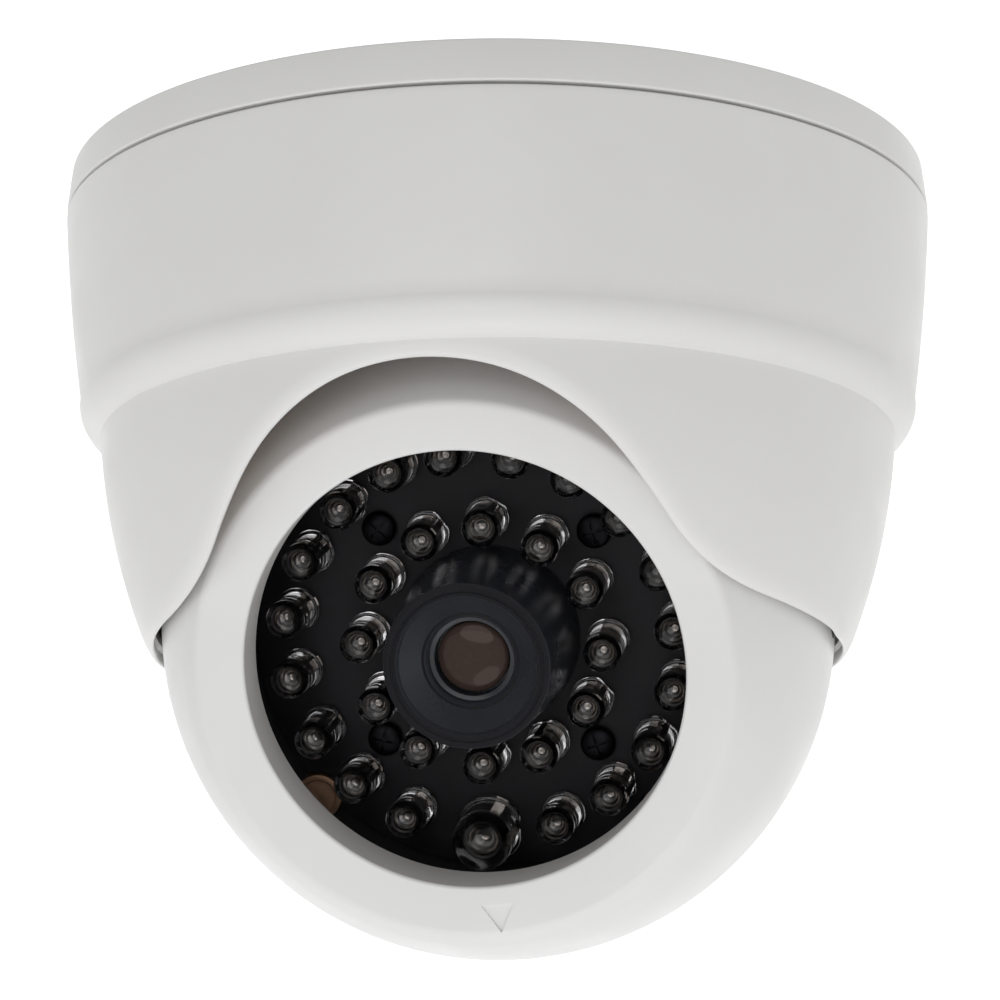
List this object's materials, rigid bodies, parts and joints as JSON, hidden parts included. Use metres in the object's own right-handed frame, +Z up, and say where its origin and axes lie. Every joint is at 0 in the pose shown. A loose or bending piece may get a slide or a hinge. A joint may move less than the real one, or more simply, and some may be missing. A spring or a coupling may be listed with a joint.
{
  "type": "dome cctv camera",
  "caption": "Ceiling dome camera: round base, turning cover with an arched cutout, tilting ball with a rolling lens and infrared lamp module.",
  "frame": {"origin": "centre of the base's ceiling face, on the pan axis", "axes": "+Z up, out of the ceiling face; the camera hangs below z = 0; -Y is the side of the cutout and the lens at rest; +X is to the right of someone who looks at the lens"},
  "size_m": [0.118, 0.118, 0.1063],
  "materials": {
    "white_shell": "fine satin moulded ABS, off-white",
    "ball_shell": "satin moulded ABS, off-white, a little glossier on the bezel",
    "black_plastic": "semi-gloss black moulded plastic",
    "lens_black": "glossy black lens barrel",
    "rubber": "matt black rubber",
    "zinc_steel": "zinc-plated steel",
    "black_screw": "black-oxide steel",
    "led_board_finish": "black solder mask, semi-gloss",
    "sensor_board_finish": "green solder mask",
    "clear_epoxy": "water-clear moulded epoxy",
    "lens_glass": "coated glass with a brown cast",
    "sensor_chip": "dark glossy sensor window"
  },
  "bodies": {
    "base": {"mounting_base": "white_shell", "cable_grommet": "rubber", "retaining_ring": "zinc_steel", "ring_screw_1": "zinc_steel", "ring_screw_2": "zinc_steel", "ring_screw_3": "zinc_steel"},
    "cover": {"dome_cover": "white_shell", "pan_plate": "zinc_steel", "cover_screw_1": "zinc_steel", "cover_screw_2": "zinc_steel", "cover_screw_3": "zinc_steel", "pivot_pin_left": "zinc_steel", "pivot_pin_right": "zinc_steel"},
    "ball": {"ball_front_shell": "ball_shell", "ball_rear_shell": "ball_shell", "friction_bush_left": "rubber", "friction_bush_right": "rubber"},
    "module": {"module_carrier": "black_plastic", "led_board": "led_board_finish", "board_screw_1": "black_screw", "board_screw_2": "black_screw", "board_screw_3": "black_screw", "board_screw_4": "black_screw", "lens_shroud": "black_plastic", "lens_holder": "black_plastic", "sensor_board": "sensor_board_finish", "image_sensor": "sensor_chip", "light_sensor": "clear_epoxy", "inner_led_01": "clear_epoxy", "inner_led_02": "clear_epoxy", "inner_led_03": "clear_epoxy", "inner_led_04": "clear_epoxy", "inner_led_05": "clear_epoxy", "inner_led_06": "clear_epoxy", "inner_led_07": "clear_epoxy", "inner_led_08": "clear_epoxy", "inner_led_09": "clear_epoxy", "inner_led_10": "clear_epoxy", "inner_led_11": "clear_epoxy", "inner_led_12": "clear_epoxy", "outer_led_01": "clear_epoxy", "outer_led_02": "clear_epoxy", "outer_led_03": "clear_epoxy", "outer_led_04": "clear_epoxy", "outer_led_05": "clear_epoxy", "outer_led_06": "clear_epoxy", "outer_led_07": "clear_epoxy", "outer_led_08": "clear_epoxy", "outer_led_09": "clear_epoxy", "outer_led_10": "clear_epoxy", "outer_led_11": "clear_epoxy", "outer_led_12": "clear_epoxy", "outer_led_13": "clear_epoxy", "outer_led_14": "clear_epoxy", "outer_led_15": "clear_epoxy", "outer_led_16": "clear_epoxy", "outer_led_17": "clear_epoxy", "outer_led_18": "clear_epoxy"},
    "lens": {"lens_barrel": "lens_black", "front_lens": "lens_glass"}
  },
  "joints": [
    {"name": "pan", "type": "hinge", "parent": "base", "child": "cover", "pos_m": [0, 0, 0], "axis": [0, 0, 1], "range_deg": [-177, 177]},
    {"name": "tilt", "type": "hinge", "parent": "cover", "child": "ball", "pos_m": [0, 0, -0.06125], "axis": [1, 0, 0], "range_deg": [-14, 65]},
    {"name": "roll", "type": "hinge", "parent": "ball", "child": "module", "pos_m": [0, 0, -0.06125], "axis": [0, -0.91, -0.4147], "range_deg": [-90, 90]},
    {"name": "focus", "type": "hinge", "parent": "module", "child": "lens", "pos_m": [0, 0, -0.06125], "axis": [0, -0.91, -0.4147], "range_deg": [-180, 180]}
  ]
}
